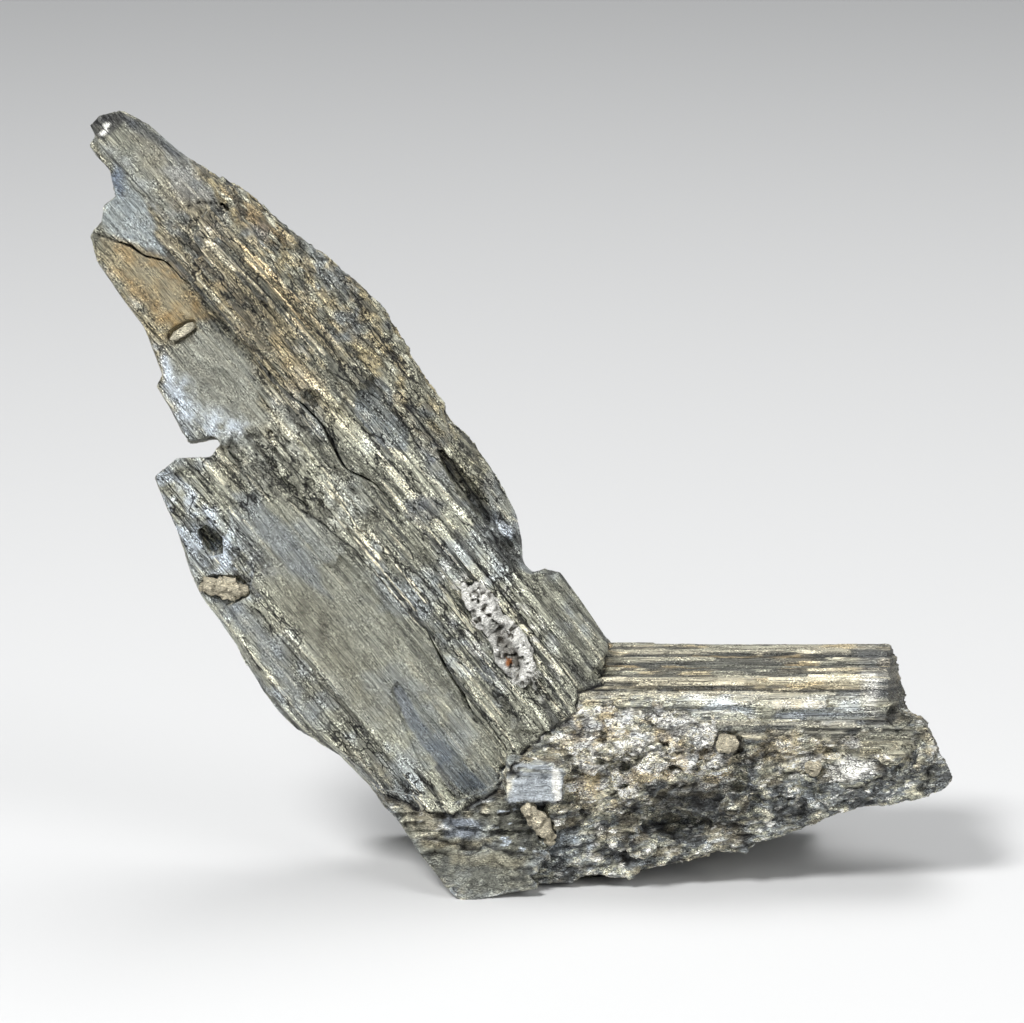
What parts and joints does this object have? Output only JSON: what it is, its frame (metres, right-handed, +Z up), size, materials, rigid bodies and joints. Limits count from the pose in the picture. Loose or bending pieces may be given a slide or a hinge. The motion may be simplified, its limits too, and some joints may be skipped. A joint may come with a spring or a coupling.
{
  "type": "bismuthinite crystal cluster",
  "caption": "Mineral specimen: a striated blade leaning up from a lying striated prism and granular ore, with white crust and buff chips lodged in it.",
  "frame": {"origin": "under the middle of the specimen's box, on the surface it stands on", "axes": "+Z up, +X from the blade's tip towards the prism's broken end, -Y towards the viewer of the striated front"},
  "size_m": [0.0856, 0.027, 0.0789],
  "materials": {
    "bismuthinite": "dull metallic lustre, striated, tarnished olive-grey",
    "white_crust": "matt, porous",
    "buff_stone": "matt, rough"
  },
  "bodies": {
    "root": {"crystal_cluster": "bismuthinite", "white_crust": "white_crust", "buff_shard_upper": "buff_stone", "pale_lath": "buff_stone", "buff_shard_lower": "buff_stone", "buff_pebble": "buff_stone", "buff_crumb": "buff_stone"}
  },
  "joints": []
}
